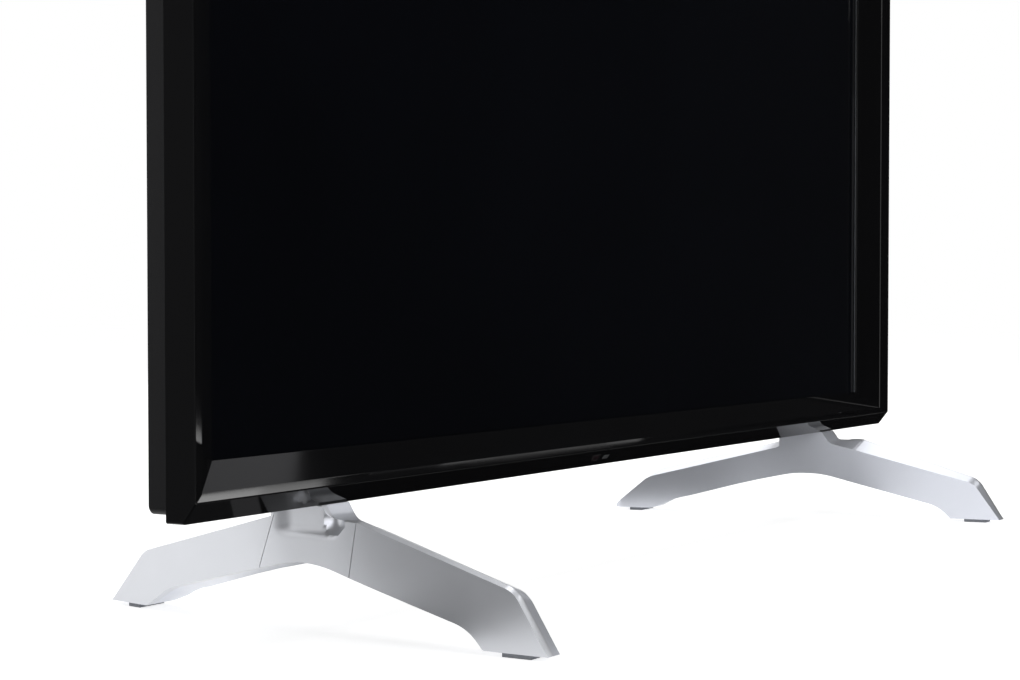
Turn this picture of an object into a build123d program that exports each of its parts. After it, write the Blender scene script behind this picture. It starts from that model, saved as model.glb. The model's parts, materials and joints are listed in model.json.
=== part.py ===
from build123d import *
import os

# Flat screen television of the 40 inch class on two splayed arch feet.
# Millimetres. X runs to the viewer's right, Y runs back and Z up. The origin is on the
# surface that the feet stand on, midway between the toes and the heels.

os.makedirs("parts", exist_ok=True)

overrun = 2.0                # how far a cutting tool passes the surface that it opens
fit = 0.3                    # running clearance between pieces that slide or drop in
ground_gap = 69.4            # floor to the underside of the cabinet

# Picture area and the window round it
picture_width = 885.6
picture_height = 498.2
window_margin = 1.2

# Front frame: one bevelled moulding round the picture
side_bevel = 24.0            # width of the steep inner face at the sides and the top
side_facet = 9.7             # width of the shallow outer face there
low_bevel = 14.2
low_facet = 4.0
bevel_rise = 12.7            # how far the steep face comes forward
facet_rise = 3.9
rim_land = 0.8               # flat crest of the foremost edge
chin_drop = 10.3             # height of the face under the crest, along the bottom
chin_back = 7.9
frame_depth = 18.2           # crest to the seam with the rear cover
frame_wall = 2.4
lip_width = 3.0
frame_corner = 1.5
boss_radius = 4.0

# Display panel, from the glass back to the steel tray
glass_border = 7.0           # glass beyond the picture on each side
glass_thickness = 2.0
clamp_wall = 0.8             # steel clamp frame in front of the glass
clamp_overlap = 4.0
clamp_skirt = 9.0
carrier_wall = 2.3           # plastic frame between the glass and the light box
carrier_flange = 1.5
carrier_skirt = 6.0
panel_play = 0.5
film_thickness = 0.4
plate_thickness = 1.5
plate_inset = 3.0
light_box_depth = 18.2
tray_wall = 1.0
tray_ledge = 8.0
reflector_wall = 0.4
reflector_slope = 14.0
bar_height = 14.0
bar_thickness = 1.0
bar_rows = 5
lights_per_bar = 7
bar_reach_share = 0.43
bar_spread_share = 0.4
lens_radius = 6.5
lens_height = 4.5
lens_crown = 2.5
support_radius = 4.0
support_tip = 1.2
supports_per_side = 2

# Rear cover
cover_wall = 2.5
cover_inset = 3.5            # step in from the front frame at the seam
cover_corner = 5.0
band_depth = 13.6            # straight edge band behind the seam
shoulder_side = 25.0
shoulder_top = 25.0
shoulder_low = 0.4
back_depth = 49.5            # crest to the flat upper back
hump_half = 418.0
hump_high = 440.0
hump_taper = 16.0
hump_low_taper = 4.0
hump_depth = 72.0
hump_corner = 14.0
cup_radius = 5.5
cup_wall = 2.0
cup_floor_depth = 30.0
side_screw_shares = (0.07, 0.25, 0.62, 0.95)
top_screw_shares = (-0.34, 0.0, 0.34)

# Air slots in the rear cover
slot_width = 3.0
slot_height = 26.0
slot_pitch = 9.0
slot_rows = 2
slot_row_gap = 8.0
slots_per_row = 26
slot_field_drop = 30.0       # hump's upper edge to the first row
grille_slot_length = 15.0
grille_slots = 11

# Wall fixing: four threaded bushes
wall_pattern = 200.0
wall_centre_height = 300.0
bush_radius = 7.0
bush_thread_radius = 3.0
bush_thread_length = 20.0

# Circuit boards, carried off the tray
board_thickness = 1.6
standoff_height = 6.0
standoff_radius = 3.5
standoff_inset = 8.0
screw_radius = 1.5
screw_head_radius = 3.2
screw_head = 2.2
main_board_inner = 120.0
main_board_outer = 292.0
main_board_low = 132.0
main_board_high = 352.0
power_board_inner = 125.0
power_board_outer = 292.0
power_board_low = 140.0
power_board_high = 330.0
timing_board_half = 70.0
timing_board_low = 128.0
timing_board_high = 172.0
source_board_inner = 24.0
source_board_outer = 318.0
source_board_height = 13.0
source_board_thickness = 1.2
tape_width = 28.0
tape_thickness = 0.3
tapes_per_board = 5
ribbon_width = 34.0

# Terminal bay and its sockets
bay_wall = 1.6
bay_floor_depth = 53.0
bay_margin = 3.0
socket_gap = 4.0
main_screw_inset = 74.0      # clear of the card slot
inlet_bay_height = 64.0
inlet_width = 24.0
inlet_height = 16.0
inlet_depth = 13.0
pin_radius = 1.2
pin_length = 6.8

# Loudspeakers, firing down
speaker_length = 150.0
speaker_height = 38.0
speaker_depth = 19.0
speaker_outer = 392.0
speaker_wall = 2.0
cone_length = 92.0
cone_width = 13.0
cone_dish = 4.0
surround = 2.0

# Keys on the right-hand edge
key_count = 5
key_length = 13.0
key_width = 7.0
key_pitch = 22.0
key_proud = 0.9
key_travel = 0.7
key_rim = 1.2
key_rim_thickness = 1.4
key_row_height = 250.0
switch_height = 3.4
switch_half = 3.0
key_board_half_width = 6.0

# Remote control window and standby light in the face under the crest
window_left = -66.0
window_right = -56.5
window_tall = 4.6
light_left = -51.0
light_right = -43.5
light_tall = 3.0
lens_wall = 1.4
sensor_board_front = 10.9    # crest to the board's front face
sensor_board_height = 14.0
sensor_board_margin = 8.0
sensor_eye_depth = 2.2
sensor_board_thickness = 1.2

# Feet. Lengths along Y are counted from the neck's centre, towards the toe or the heel.
foot_x = 352.0               # neck's centre, from the middle of the set
foot_half = 13.5             # half the foot's thickness
neck_depth = 22.5            # crest to the neck's centre
neck_half = 19.5
toe_reach = 158.0
toe_shoulder = 138.3
toe_shoulder_height = 35.2
toe_sole = 123.0
toe_knee = 111.0
toe_knee_height = 14.0
heel_reach = 159.5
heel_shoulder = 129.0
heel_shoulder_height = 34.0
heel_sole = 126.0
heel_knee = 102.0
heel_knee_height = 13.8
crown_front = 43.0
crown_height = 65.2
crown_rise = 2.2
crown_blend = 29.0
heel_crown = 22.0
heel_crown_height = 61.4
arch_apex = 10.6
arch_apex_height = 43.1
arch_radius = 105.0
toe_radius = 15.0
knee_radius = 12.0
corner_radius = 1.5
blend_radius = 8.0
toe_out = 16.0               # plan: the toe's end lies further out, the heel's further in
heel_in = 36.0
seam_out = 4.0
toe_seam = 40.0
heel_seam = 24.0
toe_lean = 11.0              # how far each seam leans over the foot's height
heel_lean = 25.0
seam_gap = 0.4
skin = 6.0                   # thickness of the outer cover plates
toe_chamfer = 4.2
plate_chamfer = 1.0
pad_thickness = 2.4
pad_inset = 2.5
toe_pad_length = 24.0
heel_pad_length = 22.0
plug_half = 6.0
plug_front = 2.0             # plug's front face, behind the neck's centre
plug_rear = 17.0
foot_screw_radius = 2.0
foot_screw_hole = 2.2
foot_screw_head_radius = 3.8
foot_screw_head = 3.0
foot_screw_seat = 52.0
foot_screw_pitch = 9.0
bracket_wall = 2.0
bracket_half = 22.0
bracket_height = 95.0
bracket_lift = 0.4


def box(x0, x1, y0, y1, z0, z1):
    """A block between two corners, in any order."""
    centre = ((x0 + x1) / 2, (y0 + y1) / 2, (z0 + z1) / 2)
    return Pos(*centre) * Box(abs(x1 - x0), abs(y1 - y0), abs(z1 - z0))


def rod(x, z, y0, y1, radius):
    """A round bar along Y."""
    return Pos(x, (y0 + y1) / 2, z) * Rot(90, 0, 0) * Cylinder(radius, abs(y1 - y0))


def post(x, y, z0, z1, radius):
    """A round bar along Z."""
    return Pos(x, y, (z0 + z1) / 2) * Cylinder(radius, abs(z1 - z0))


def solids(shapes):
    """Several separate solids as one piece."""
    return Compound(children=[solid for shape in shapes for solid in shape.solids()])


def save(name, shape):
    """One sub-part, one file."""
    export_step(shape, f"parts/{name}.step")


class Outline:
    """An upright rectangle seen from the front, by its four edges."""

    def __init__(self, left, right, low, high):
        self.left, self.right, self.low, self.high = left, right, low, high

    def grown(self, by, below=None, above=None):
        """Every edge moved out; the lower and the upper edge may have their own amounts."""
        down = by if below is None else below
        up = by if above is None else above
        return Outline(self.left - by, self.right + by, self.low - down, self.high + up)

    def face(self, y, radius=0):
        centre = ((self.left + self.right) / 2, y, (self.low + self.high) / 2)
        plane = Plane(origin=centre, x_dir=(1, 0, 0), z_dir=(0, -1, 0))
        width, height = self.right - self.left, self.high - self.low
        return plane * (RectangleRounded(width, height, radius) if radius else Rectangle(width, height))

    def slab(self, front, back, radius=0):
        return extrude(self.face(front, radius), amount=front - back)

    def funnel(self, front, other, back, radius=0, other_radius=0):
        """From this outline at the front to another one further back."""
        return loft([self.face(front, radius), other.face(back, other_radius)], ruled=True)


# Places worked out from the sizes above
neck_y = (toe_reach - heel_reach) / 2
crest_y = neck_y - neck_depth


def at(depth):
    """The Y of a place this far behind the crest of the front frame."""
    return crest_y + depth


window_low = ground_gap + chin_drop + low_facet + low_bevel
window = Outline(-picture_width / 2 - window_margin, picture_width / 2 + window_margin,
                 window_low, window_low + picture_height + 2 * window_margin)
fold = window.grown(side_bevel, below=low_bevel)
crest = fold.grown(side_facet, below=low_facet)
cabinet = crest.grown(0, below=chin_drop)
picture = window.grown(-window_margin)
window_depth = facet_rise + bevel_rise

glass = picture.grown(glass_border)
tray = glass.grown(-panel_play)
clamp_back = frame_depth + clamp_wall
glass_back = clamp_back + glass_thickness
carrier_back = glass_back + carrier_flange
prism_back = carrier_back + film_thickness
diffuser_back = prism_back + film_thickness
plate_back = diffuser_back + plate_thickness
tray_back = plate_back + light_box_depth
carrier = tray.grown(panel_play + carrier_wall)
clamp = carrier.grown(clamp_wall)
panel_mid = (glass.left + glass.right) / 2

cover = cabinet.grown(-cover_inset)
band_back = frame_depth + band_depth
shoulder = cover.grown(-shoulder_side, below=-shoulder_low, above=-shoulder_top)
hump = Outline(-hump_half, hump_half, shoulder.low, hump_high)
hump_back = hump.grown(-hump_taper, below=-hump_low_taper)

board_front = tray_back + standoff_height
board_back = board_front + board_thickness
terminal_x = main_board_outer + fit
bay_low = main_board_low - bay_margin
bay_high = main_board_high + bay_margin
inlet_low = power_board_low - bay_margin
inlet_high = inlet_low + inlet_bay_height

cup_x = (clamp.right + cabinet.right - frame_wall) / 2
cup_z = (clamp.high + cabinet.high - frame_wall) / 2
screw_places = [(side * cup_x, cabinet.low + share * (cabinet.high - cabinet.low))
                for share in side_screw_shares for side in (-1, 1)]
screw_places += [(share * cabinet.right * 2, cup_z) for share in top_screw_shares]

key_heights = [key_row_height + step * key_pitch for step in range(key_count)]
key_centre_depth = frame_depth + band_depth / 2
cover_right = cover.right
bracket_floor = shoulder.low + cover_wall + bracket_lift
body_mid = foot_x - skin / 2


# Front frame

def chin_wedge(shift):
    """The space under the crest along the bottom, where the face slopes back."""
    low, high = crest.low - chin_drop, crest.low
    with BuildSketch(Plane.YZ) as side:
        with BuildLine():
            Polyline((at(0), high), (at(chin_back), low), (at(chin_back), low - overrun),
                     (at(0) - overrun, low - overrun), (at(0) - overrun, high), close=True)
        make_face()
    wedge = extrude(side.sketch, amount=cabinet.right + overrun, both=True)
    return Pos(0, shift, shift) * wedge


def picture_opening():
    """The stepped funnel that the picture is seen through."""
    mouth = crest.grown(-rim_land)
    opening = mouth.funnel(at(0), fold, at(facet_rise))
    opening += fold.funnel(at(facet_rise), window, at(window_depth))
    return opening + window.slab(at(window_depth), at(frame_depth) + overrun)


def make_front_frame():
    frame = cabinet.slab(at(0), at(frame_depth), frame_corner) - chin_wedge(0)
    hollow = cabinet.grown(-frame_wall).slab(at(frame_wall), at(frame_depth) + overrun)
    hollow -= chin_wedge(frame_wall)
    hollow -= Pos(0, frame_wall, 0) * picture_opening()
    hollow -= window.grown(lip_width).slab(at(0), at(frame_depth) + overrun)
    for x, z in screw_places:
        hollow -= rod(x, z, at(0), at(frame_depth) + overrun, boss_radius)
    frame = frame - picture_opening() - hollow
    for x, z in screw_places:
        frame += rod(x, z, at(frame_depth) - frame_wall, at(cup_floor_depth), boss_radius)
        frame -= rod(x, z, at(window_depth), at(cup_floor_depth) + overrun, screw_radius)
    return frame - chin_pocket(window_left, window_right, window_tall, fit) \
        - chin_pocket(light_left, light_right, light_tall, fit)


def chin_pocket(left, right, tall, play):
    """A rectangular plug through the sloping face under the crest, square to that face."""
    length = (chin_drop ** 2 + chin_back ** 2) ** (1 / 2)
    middle = (at(chin_back / 2), crest.low - chin_drop / 2)
    normal = (0, -chin_drop / length, -chin_back / length)
    face = Plane(origin=((left + right) / 2, *middle), x_dir=(1, 0, 0), z_dir=normal)
    plug = Rectangle(right - left + 2 * play, tall + 2 * play)
    inside = extrude(face * plug, amount=-lens_wall - frame_wall)
    return inside + extrude(face * plug, amount=overrun) if play else inside


def make_sensor_board():
    """An upright board behind the face, with the receiver and a lamp on its front."""
    floor = cabinet.low + frame_wall
    front = at(sensor_board_front)
    board = box(window_left - sensor_board_margin, light_right + sensor_board_margin, front,
                front + sensor_board_thickness, floor, floor + sensor_board_height)
    middle = crest.low - chin_drop / 2 + frame_wall / 2 + lens_wall
    for left, right, tall in ((window_left, window_right, window_tall), (light_left, light_right, light_tall)):
        board += box(left, right, front - sensor_eye_depth, front, middle - tall / 2, middle + tall / 2)
    return board


# Display panel

def make_clamp_frame():
    """Steel frame: a flange over the glass edge and a skirt down three sides."""
    skirt = clamp.slab(at(frame_depth), at(clamp_back + clamp_skirt))
    room = carrier.grown(0, below=clamp_wall + overrun)
    skirt -= room.slab(at(clamp_back), at(clamp_back + clamp_skirt) + overrun)
    opening = glass.grown(-clamp_overlap).slab(at(frame_depth) - overrun, at(clamp_back) + overrun)
    return skirt - opening


def make_carrier():
    """Plastic frame: it locates the glass in front and holds the films behind."""
    frame = carrier.slab(at(clamp_back), at(carrier_back + carrier_skirt))
    frame -= glass.grown(panel_play, below=carrier_wall + panel_play + overrun).slab(at(clamp_back) - overrun,
                                                                                  at(glass_back))
    frame -= picture.grown(window_margin).slab(at(glass_back) - overrun, at(carrier_back) + overrun)
    return frame - tray.grown(panel_play).slab(at(carrier_back), at(carrier_back + carrier_skirt) + overrun)


def make_tray(spots):
    """Pressed steel tray with a ledge round its mouth and a post for each board screw."""
    shell = tray.slab(at(plate_back), at(tray_back))
    shell -= tray.grown(-tray_wall).slab(at(plate_back + tray_wall), at(tray_back - tray_wall))
    shell -= tray.grown(-tray_ledge).slab(at(plate_back) - overrun, at(plate_back + tray_wall) + overrun)
    for x in (-1, 1):
        shell += box(x * hump_half * bar_spread_share, x * (hump_half * bar_spread_share + bar_height),
                     at(tray_back), at(tray_back + tray_wall), main_board_high + socket_gap,
                     hump_high + slot_height)
    for stud in standoffs(spots):
        shell += stud
    return shell


bar_front = tray_back - tray_wall - bar_thickness
row_heights = [(tray.low + tray.high) / 2 + (row / (bar_rows - 1) * 2 - 1) * bar_spread_share
               * (tray.high - tray.low) for row in range(bar_rows)]
bar_reach = bar_reach_share * (tray.right - tray.left)
light_xs = [(light / (lights_per_bar - 1) * 2 - 1) * (bar_reach - bar_height) for light in range(lights_per_bar)]


def make_reflector():
    """White dished sheet in front of the light bars, with a hole for each lens."""
    base = tray.grown(-tray_wall - reflector_slope)
    mouth = tray.grown(-tray_wall - reflector_wall)
    front = plate_back + tray_wall
    back = bar_front
    dish = mouth.funnel(at(front), base, at(back))
    dish -= mouth.grown(-reflector_wall).funnel(at(front), base.grown(-reflector_wall), at(back - reflector_wall))
    for z in row_heights:
        for x in light_xs:
            dish -= rod(x, z, at(back - reflector_wall) - overrun, at(back) + overrun, lens_radius + fit)
    return dish


def make_light_bars():
    return solids([box(-bar_reach, bar_reach, at(bar_front), at(bar_front + bar_thickness),
                       z - bar_height / 2, z + bar_height / 2) for z in row_heights])


def make_lenses():
    """Domed caps that spread the light of each lamp."""
    skirt = lens_height - lens_crown
    lens = Pos(0, at(bar_front - skirt / 2), 0) * Rot(90, 0, 0) * Cylinder(lens_radius, skirt)
    cap = Pos(0, at(bar_front - skirt - lens_crown / 2), 0) * Rot(90, 0, 0) * Cone(lens_radius, lens_crown,
                                                                                lens_crown)
    lens = lens + cap
    return solids([Pos(x, 0, z) * lens for z in row_heights for x in light_xs])


def make_film_supports():
    """Cones that stand on the reflector and keep the diffuser plate flat."""
    height = bar_front - reflector_wall - plate_back
    cone = Pos(0, at(plate_back + height / 2), 0) * Rot(90, 0, 0) * Cone(support_radius, support_tip, height)
    z = (row_heights[1] + row_heights[2]) / 2
    spots = [side * (step + 1) * bar_reach / (supports_per_side + 1)
             for step in range(supports_per_side) for side in (-1, 1)]
    return solids([Pos(x, 0, z) * cone for x in spots])


# Rear cover

def cover_form(wall):
    """The rear cover's outer form, or with a wall its inner form."""
    start = at(frame_depth) - (overrun if wall else 0)
    corner = cover_corner - wall
    band, slope = cover.grown(-wall), shoulder.grown(-wall)
    form = band.slab(start, at(band_back), corner)
    form += band.funnel(at(band_back), slope, at(back_depth - wall), corner, corner)
    tail = at(hump_depth - wall)
    return form + hump.grown(-wall).funnel(at(back_depth - wall), hump_back.grown(-wall), tail,
                                          hump_corner - wall, hump_corner - wall)


def cover_cups():
    """Deep screw cups that reach the front frame's bosses."""
    cups = [rod(x, z, at(cup_floor_depth), at(back_depth), cup_radius + cup_wall) for x, z in screw_places]
    wells = [rod(x, z, at(cup_floor_depth + cup_wall), at(back_depth) + overrun, cup_radius)
             for x, z in screw_places]
    holes = [rod(x, z, at(cup_floor_depth) - overrun, at(back_depth), screw_radius + fit)
             for x, z in screw_places]
    return cups, wells, holes


def air_slots():
    """Rows of upright slots high on the hump, where the warm air leaves."""
    top = hump_back.high - slot_field_drop
    slots = []
    for row in range(slot_rows):
        high = top - row * (slot_height + slot_row_gap)
        for step in range(slots_per_row):
            x = (step - (slots_per_row - 1) / 2) * slot_pitch
            for side in (-1, 1):
                shift = x + side * (hump_half / 2 + slot_pitch)
                slots.append(box(shift - slot_width / 2, shift + slot_width / 2, at(back_depth),
                                 at(hump_depth) + overrun, high - slot_height, high))
    return slots


def speaker_slots():
    """Slots under each loudspeaker."""
    slots = []
    depth = board_front + speaker_depth / 2
    for side in (-1, 1):
        for step in range(grille_slots):
            x = side * (speaker_outer - speaker_length / 2) + (step - (grille_slots - 1) / 2) * slot_pitch
            slots.append(box(x - slot_width / 2, x + slot_width / 2, at(depth - grille_slot_length / 2),
                             at(depth + grille_slot_length / 2), cover.low - overrun,
                             speaker_floor - fit))
    return slots


speaker_floor = hump_back.low + cover_wall + fit + surround


def make_rear_cover():
    cups, wells, holes = cover_cups()
    envelope = cover_form(0)
    shell = envelope - cover_form(cover_wall)
    for cup in cups:
        shell += cup & envelope
    shell = shell - wells - holes - air_slots() - speaker_slots()
    for side in (-1, 1):
        x = side * body_mid
        shell -= box(x - plug_half - fit, x + plug_half + fit, neck_y + plug_front - fit,
                     neck_y + plug_rear + fit, cover.low - overrun, bracket_floor)
    shell -= bay_cut(1, bay_low, bay_high)
    shell -= bay_cut(-1, inlet_low, inlet_high)
    for x, z in wall_places:
        shell -= rod(x, z, at(back_depth), at(hump_depth) + overrun, bush_radius + fit)
    for z in key_heights:
        shell -= box(cover_right - cover_wall - overrun, cover_right + overrun,
                     at(key_centre_depth) - key_width / 2 - fit, at(key_centre_depth) + key_width / 2 + fit,
                     z - key_length / 2 - fit, z + key_length / 2 + fit)
    return shell + key_rails()


wall_places = [(x * wall_pattern / 2, wall_centre_height + z * wall_pattern / 2)
               for z in (-1, 1) for x in (-1, 1)]


def bay_cut(side, low, high):
    """The opening in the hump for a recessed terminal bay."""
    inner = side * terminal_x
    outer = side * (hump_half + overrun)
    return box(inner, outer, at(bay_floor_depth), at(hump_depth) + overrun, low, high)


def key_rails():
    """Two ribs inside the edge band that hold the key board's ends."""
    low, high = key_heights[0] - key_pitch, key_heights[-1] + key_pitch
    rails = []
    for z0, z1 in ((low, low + key_pitch / 2), (high - key_pitch / 2, high)):
        rails.append(box(key_board_x, cover_right - cover_wall, at(key_centre_depth) - key_board_half_width,
                         at(key_centre_depth) + key_board_half_width, z0, z1))
    return rails


key_board_x = cover_right - cover_wall - key_rim_thickness - fit - key_travel - switch_height - fit


def make_key_board():
    low, high = key_heights[0] - key_pitch, key_heights[-1] + key_pitch
    board = box(key_board_x - board_thickness, key_board_x, at(key_centre_depth) - key_board_half_width,
                at(key_centre_depth) + key_board_half_width, low, high)
    switches = [box(key_board_x, key_board_x + switch_height, at(key_centre_depth) - switch_half,
                    at(key_centre_depth) + switch_half, z - switch_half, z + switch_half)
                for z in key_heights]
    return board, solids(switches)


def make_key(z):
    """A pressing cap with a retaining rim behind the wall; its mark is left bare."""
    y = at(key_centre_depth)
    face_x = cover_right + key_proud
    rim_x = cover_right - cover_wall - fit / 2
    cap = box(rim_x, face_x, y - key_width / 2, y + key_width / 2, z - key_length / 2, z + key_length / 2)
    cap = fillet(cap.edges().group_by(Axis.X)[-1], key_proud / 2)
    rim = box(rim_x - key_rim_thickness, rim_x, y - key_width / 2 - key_rim, y + key_width / 2 + key_rim,
              z - key_length / 2 - key_rim, z + key_length / 2 + key_rim)
    return cap + rim


def make_bay(side, low, high):
    """A moulded recess: the terminal wall, a floor facing back, and two side walls."""
    inner, outer = side * terminal_x, side * hump_half
    x0, x1 = sorted((inner, outer))
    shell = box(x0, x1, at(bay_floor_depth), at(hump_depth), low, high)
    hollow = box(min(inner + side * bay_wall, outer + side * overrun),
                 max(inner + side * bay_wall, outer + side * overrun),
                 at(bay_floor_depth + bay_wall), at(hump_depth) + overrun, low + bay_wall, high - bay_wall)
    return (shell - hollow) & cover_form(0)


# What the terminal wall holds: name, height along Z, depth along Y and how far it runs inwards
socket_table = {
    "card_slot": (58.0, 6.0, 60.0),
    "usb_sockets": (14.0, 6.5, 17.0),
    "hdmi_sockets": (15.0, 5.8, 13.0),
    "network_socket": (16.0, 13.0, 18.0),
    "aerial_socket": (13.0, 13.0, 20.0),
    "sound_sockets": (9.0, 9.0, 12.0),
}
socket_counts = {"card_slot": 1, "usb_sockets": 2, "hdmi_sockets": 3, "network_socket": 1,
                 "aerial_socket": 1, "sound_sockets": 2}
socket_wall = 0.5


def socket_places():
    """Sockets stacked up the terminal wall, each at its own height."""
    z = bay_low + bay_wall + socket_gap / 2
    places = {}
    for name, (tall, thick, run) in socket_table.items():
        rows = []
        for copy in range(socket_counts[name]):
            rows.append((z, z + tall))
            z += tall + socket_gap
        places[name] = rows
    return places


def socket_shell(z0, z1, thick, run, round_mouth):
    """A metal shell on the main board whose mouth opens in the terminal wall."""
    face_x = terminal_x + bay_wall
    body = box(face_x - run, face_x, at(board_back), at(board_back + thick), z0, z1)
    middle = at(board_back + thick / 2)
    if round_mouth:
        radius = min(z1 - z0, thick) / 2 - socket_wall
        mouth = Pos(face_x, middle, (z0 + z1) / 2) * Rot(0, 90, 0) * Cylinder(radius, run)
    else:
        mouth = box(face_x - run / 2, face_x + overrun, at(board_back + socket_wall),
                    at(board_back + thick - socket_wall), z0 + socket_wall, z1 - socket_wall)
    return body - mouth


def make_sockets():
    made = {}
    for name, rows in socket_places().items():
        tall, thick, run = socket_table[name]
        made[name] = [socket_shell(z0, z1, thick, run, name in ("aerial_socket", "sound_sockets"))
                      for z0, z1 in rows]
    return made


def socket_cuts():
    """Holes in the terminal wall that the sockets pass through."""
    cuts = []
    for name, rows in socket_places().items():
        tall, thick, run = socket_table[name]
        for z0, z1 in rows:
            cuts.append(box(terminal_x - overrun, terminal_x + bay_wall + overrun, at(board_back),
                            at(board_back + thick), z0, z1))
    return cuts


def inlet_box(play):
    """The outside of the two-pin mains inlet."""
    z = (inlet_low + inlet_high) / 2
    wall_x = -terminal_x - bay_wall
    return box(wall_x - play * overrun, wall_x + inlet_width, at(board_back), at(board_back + inlet_depth),
               z - inlet_height / 2, z + inlet_height / 2)


def make_inlet():
    z = (inlet_low + inlet_high) / 2
    wall_x = -terminal_x - bay_wall
    socket = box(wall_x - overrun, wall_x + inlet_width / 2, at(board_back + bay_wall),
                 at(board_back + inlet_depth - bay_wall), z - inlet_height / 2 + bay_wall,
                 z + inlet_height / 2 - bay_wall)
    pins = [Pos(wall_x + inlet_width / 2 - pin_length / 2, at(board_back + inlet_depth / 2),
                z + side * inlet_height / 5) * Rot(0, 90, 0) * Cylinder(pin_radius, pin_length)
            for side in (-1, 1)]
    return inlet_box(0) - socket + pins


# Boards and what they carry

def board(x0, x1, z0, z1, right_inset=standoff_inset):
    """A board with a hole near each corner, and the places of those holes."""
    spots = [(x, z) for z in (z0 + standoff_inset, z1 - standoff_inset)
             for x in (x0 + standoff_inset, x1 - right_inset)]
    plate = box(x0, x1, at(board_front), at(board_back), z0, z1)
    for x, z in spots:
        plate -= rod(x, z, at(board_front) - overrun, at(board_back) + overrun, screw_radius)
    return plate, spots


def standoffs(spots):
    posts = []
    for x, z in spots:
        stud = rod(x, z, at(tray_back), at(board_front), standoff_radius)
        posts.append(stud - rod(x, z, at(tray_back), at(board_front) + overrun, screw_radius))
    return posts


def board_screws(spots):
    return [rod(x, z, at(board_front - standoff_height / 2), at(board_back), screw_radius)
            + rod(x, z, at(board_back), at(board_back + screw_head), screw_head_radius) for x, z in spots]


transformer_shares = ((0.3, 0.75, 0.26, 0.2), (0.72, 0.72, 0.24, 0.17), (0.7, 0.28, 0.2, 0.14))
capacitor_shares = ((0.28, 0.42), (0.28, 0.2), (0.5, 0.5))
transformer_height = 15.0
capacitor_radius = 9.0
capacitor_length = 30.0
heat_sink_height = 14.0
heat_sink_fins = 6
fin_wall = 1.4
chip_side = 27.0
chip_height = 2.6


def on_power_board(x_share, z_share):
    x = -power_board_outer + x_share * (power_board_outer - power_board_inner)
    return x, power_board_low + z_share * (power_board_high - power_board_low)


def make_transformers():
    blocks = []
    for x_share, z_share, wide_share, tall_share in transformer_shares:
        x, z = on_power_board(x_share, z_share)
        wide = wide_share * (power_board_outer - power_board_inner) / 2
        tall = tall_share * (power_board_high - power_board_low) / 2
        core = box(x - wide, x + wide, at(board_back), at(board_back + transformer_height), z - tall, z + tall)
        coil = box(x - wide / 2, x + wide / 2, at(board_back + fin_wall),
                   at(board_back + transformer_height + fin_wall), z - tall - fin_wall, z + tall + fin_wall)
        blocks.append(core + coil)
    return solids(blocks)


def make_capacitors():
    """Tall electrolytic cans laid flat on the board."""
    cans = []
    for x_share, z_share in capacitor_shares:
        x, z = on_power_board(x_share, z_share)
        can = Pos(x, at(board_back + capacitor_radius), z) * Rot(0, 90, 0) * Cylinder(capacitor_radius,
                                                                                   capacitor_length)
        cans.append(can)
    return solids(cans)


def heat_sink(x, z, wide, tall, base_depth):
    """A finned block that stands on a board or a chip."""
    sink = box(x - wide / 2, x + wide / 2, at(base_depth), at(base_depth + fin_wall), z - tall / 2, z + tall / 2)
    for fin in range(heat_sink_fins):
        edge = x - wide / 2 + fin * (wide - fin_wall) / (heat_sink_fins - 1)
        sink += box(edge, edge + fin_wall, at(base_depth), at(base_depth + heat_sink_height), z - tall / 2,
                    z + tall / 2)
    return sink


def make_source_boards():
    low = tray.low + tray_wall
    return solids([box(side * source_board_inner, side * source_board_outer, at(tray_back),
                       at(tray_back + source_board_thickness), low, low + source_board_height)
                   for side in (-1, 1)])


def make_tapes():
    """Flexible driver tapes: from the glass edge, under the panel and up onto the source boards."""
    run = carrier.low - fit
    low_turn, face = run - tape_thickness, at(tray_back + source_board_thickness)
    top = tray.low + tray_wall + source_board_height / 2
    front = at(glass_back) - tape_thickness
    tapes = []
    for side in (-1, 1):
        for step in range(tapes_per_board):
            span = source_board_outer - source_board_inner - tape_width
            x0 = side * (source_board_inner + step * span / (tapes_per_board - 1))
            x1 = x0 + side * tape_width
            tape = box(x0, x1, front, front + tape_thickness, low_turn, glass.low)
            tape += box(x0, x1, front, face + tape_thickness, low_turn, run)
            tape += box(x0, x1, face, face + tape_thickness, low_turn, top)
            tapes.append(tape)
    return solids(tapes)


def make_ribbons():
    """Flat cables from the source boards up to the timing board."""
    ribbons = []
    face = at(tray_back + source_board_thickness)
    source_top = tray.low + tray_wall + source_board_height
    start = source_top - source_board_height / 4
    for side in (-1, 1):
        x0, x1 = side * source_board_inner, side * (source_board_inner + ribbon_width)
        ribbon = box(x0, x1, face, face + tape_thickness, start, source_top + standoff_inset)
        ribbon += box(x0, x1, face, at(board_back) + tape_thickness, source_top + standoff_inset - tape_thickness,
                      source_top + standoff_inset)
        ribbon += box(x0, x1, at(board_back), at(board_back) + tape_thickness,
                      source_top + standoff_inset - tape_thickness, timing_board_low + standoff_inset)
        ribbons.append(ribbon)
    return solids(ribbons)


# Loudspeakers

def make_speaker_box(side):
    """A shallow box whose open floor holds the driver."""
    x0, x1 = side * (speaker_outer - speaker_length), side * speaker_outer
    front = at(board_front)
    back = front + speaker_depth
    case = box(x0, x1, front, back, speaker_floor, speaker_floor + speaker_height)
    room = box(x0 + side * speaker_wall, x1 - side * speaker_wall, front + speaker_wall, back - speaker_wall,
               speaker_floor + speaker_wall, speaker_floor + speaker_height - speaker_wall)
    x = (x0 + x1) / 2
    y = (front + back) / 2
    mouth = Pos(x, y, speaker_floor) * extrude(SlotOverall(cone_length, cone_width), amount=speaker_wall * 2,
                                               both=True)
    return case - room - mouth


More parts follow.
